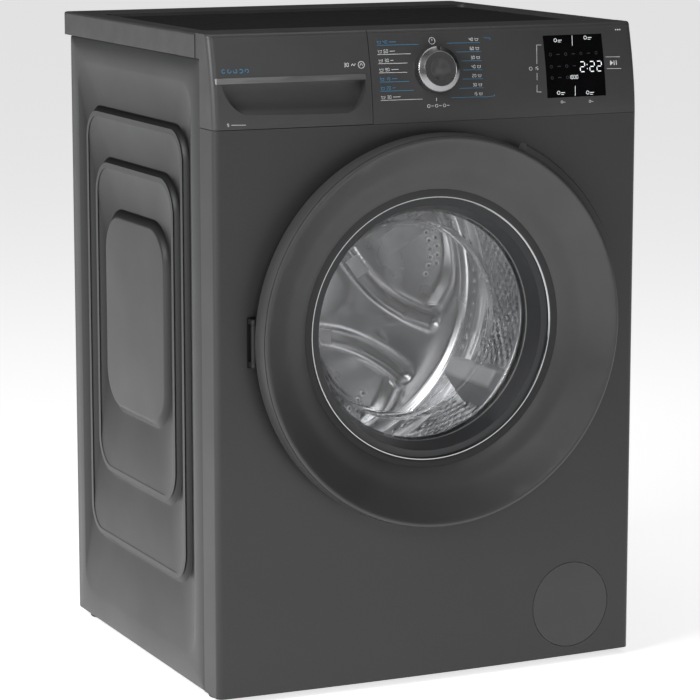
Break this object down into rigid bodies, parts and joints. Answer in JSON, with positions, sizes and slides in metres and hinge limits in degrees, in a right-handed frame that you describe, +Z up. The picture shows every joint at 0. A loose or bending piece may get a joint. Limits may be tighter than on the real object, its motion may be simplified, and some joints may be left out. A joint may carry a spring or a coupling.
{
  "type": "front load washing machine",
  "caption": "Front load washing machine with a round glass door, detergent drawer, programme knob and display, and with its tub, drum and drive inside.",
  "frame": {"origin": "on the floor, under the middle of the overall box", "axes": "+X to the right as seen from the front, +Y from the front to the back, +Z up"},
  "size_m": [0.598, 0.582, 0.845],
  "materials": {
    "painted_steel": "satin dark grey paint",
    "zinc_steel": "zinc-plated sheet",
    "black_steel": "black painted steel",
    "grey_plastic": "satin dark grey plastic",
    "black_plastic": "matte black plastic",
    "board_laminate": "black laminate on chipboard",
    "display_glass": "gloss black window",
    "circuit_board": "green board",
    "white_plastic": "plain white plastic",
    "drawer_plastic": "light grey plastic",
    "trim_metal": "bright metal",
    "strip_metal": "satin aluminium strip",
    "knob_metal": "metallised plastic",
    "clear_glass": "clear glass",
    "fastener_steel": "zinc-plated steel",
    "tub_plastic": "filled polypropylene",
    "concrete": "cast concrete",
    "drum_steel": "bright stainless steel",
    "cast_aluminium": "as cast",
    "bearing_steel": "ground steel",
    "black_rubber": "matte rubber",
    "grey_rubber": "matte grey rubber"
  },
  "bodies": {
    "cabinet": {"base_tray": "black_plastic", "side_panel_left": "painted_steel", "side_panel_right": "painted_steel", "front_panel": "painted_steel", "rear_panel": "zinc_steel", "rear_service_cover": "zinc_steel", "rear_cover_screws": "fastener_steel", "transit_caps": "black_plastic", "top_frame": "grey_plastic", "worktop_board": "board_laminate", "control_fascia": "grey_plastic", "display_window": "display_glass", "control_board": "circuit_board", "spring_brace": "zinc_steel", "inlet_valve": "white_plastic", "cable_gland": "black_plastic", "hinge_bracket": "black_steel", "door_lock": "black_plastic", "drawer_housing": "white_plastic", "drain_pump": "white_plastic", "drain_hose": "black_rubber", "damper_cylinders": "fastener_steel"},
    "door": {"door_rim": "grey_plastic", "door_dish": "grey_plastic", "door_bezel": "black_plastic", "door_trim_ring": "trim_metal", "door_glass": "clear_glass", "door_rear_frame": "black_plastic", "door_hinge_arm": "fastener_steel", "door_screws": "fastener_steel"},
    "latch": {"latch_hook": "black_plastic"},
    "drawer": {"drawer_front": "grey_plastic", "drawer_strip": "strip_metal", "drawer_tray": "drawer_plastic"},
    "knob": {"programme_knob": "knob_metal"},
    "tub": {"tub_front_shell": "tub_plastic", "tub_rear_shell": "tub_plastic", "front_weights": "concrete", "drum_bearings": "bearing_steel", "heating_element": "bearing_steel", "motor_body": "cast_aluminium", "drive_belt": "black_rubber", "door_gasket": "grey_rubber", "suspension_springs": "bearing_steel", "damper_rods": "fastener_steel", "sump_hose": "black_rubber", "dispenser_hose": "black_rubber"},
    "rotor": {"motor_pulley": "bearing_steel"},
    "drum": {"drum_shell": "drum_steel", "drum_back": "drum_steel", "drum_lifters": "drawer_plastic", "drum_spider": "cast_aluminium", "drum_pulley": "cast_aluminium"},
    "flap": {"service_flap": "grey_plastic"},
    "cap": {"filter_cap": "white_plastic"},
    "impeller": {"pump_impeller": "white_plastic"},
    "foot_front_left_body": {"foot_front_left": "black_plastic"},
    "foot_rear_left_body": {"foot_rear_left": "black_plastic"},
    "foot_front_right_body": {"foot_front_right": "black_plastic"},
    "foot_rear_right_body": {"foot_rear_right": "black_plastic"}
  },
  "joints": [
    {"name": "door_hinge", "type": "hinge", "parent": "cabinet", "child": "door", "pos_m": [-0.2505, -0.257, 0.464], "axis": [0, 0, -1], "range_deg": [0, 105]},
    {"name": "latch_pivot", "type": "hinge", "parent": "door", "child": "latch", "pos_m": [0.205, -0.251, 0.468], "axis": [1, 0, 0], "range_deg": [0, 14], "stiffness_Nm_per_rad": 0.05, "springref_deg": -17.19},
    {"name": "drawer_slide", "type": "slide", "parent": "cabinet", "child": "drawer", "axis": [0, -1, 0], "range_m": [0, 0.19]},
    {"name": "knob_turn", "type": "hinge", "parent": "cabinet", "child": "knob", "pos_m": [0.004, -0.24628, 0.793], "axis": [0, -0.9819, 0.1896], "continuous": true},
    {"name": "tub_bounce", "type": "slide", "parent": "cabinet", "child": "tub", "axis": [0, 0, 1], "range_m": [-0.012, 0.012], "stiffness_N_per_m": 12000, "springref_m": 0.01906, "deforming": ["door_gasket", "suspension_springs", "sump_hose", "dispenser_hose"]},
    {"name": "drum_spin", "type": "hinge", "parent": "tub", "child": "drum", "pos_m": [0, 0, 0.464], "axis": [0, -1, 0], "continuous": true},
    {"name": "motor_spin", "type": "hinge", "parent": "tub", "child": "rotor", "pos_m": [0.04, 0, 0.128], "axis": [0, -1, 0], "continuous": true},
    {"name": "flap_hinge", "type": "hinge", "parent": "cabinet", "child": "flap", "pos_m": [0.2615, -0.2482, 0.079], "axis": [0, 0, 1], "range_deg": [0, 95]},
    {"name": "cap_turn", "type": "hinge", "parent": "cabinet", "child": "cap", "pos_m": [0.206, -0.24, 0.079], "axis": [0, -1, 0], "range_deg": [0, 90]},
    {"name": "impeller_spin", "type": "hinge", "parent": "cabinet", "child": "impeller", "pos_m": [0.206, -0.14, 0.079], "axis": [0, -1, 0], "continuous": true},
    {"name": "foot_front_left_screw", "type": "slide", "parent": "cabinet", "child": "foot_front_left_body", "axis": [0, 0, -1], "range_m": [0, 0.012]},
    {"name": "foot_rear_left_screw", "type": "slide", "parent": "cabinet", "child": "foot_rear_left_body", "axis": [0, 0, -1], "range_m": [0, 0.012]},
    {"name": "foot_front_right_screw", "type": "slide", "parent": "cabinet", "child": "foot_front_right_body", "axis": [0, 0, -1], "range_m": [0, 0.012]},
    {"name": "foot_rear_right_screw", "type": "slide", "parent": "cabinet", "child": "foot_rear_right_body", "axis": [0, 0, -1], "range_m": [0, 0.012]}
  ],
  "couplings": [
    {"joint": "motor_spin", "follows": "drum_spin", "ratio": 14}
  ]
}
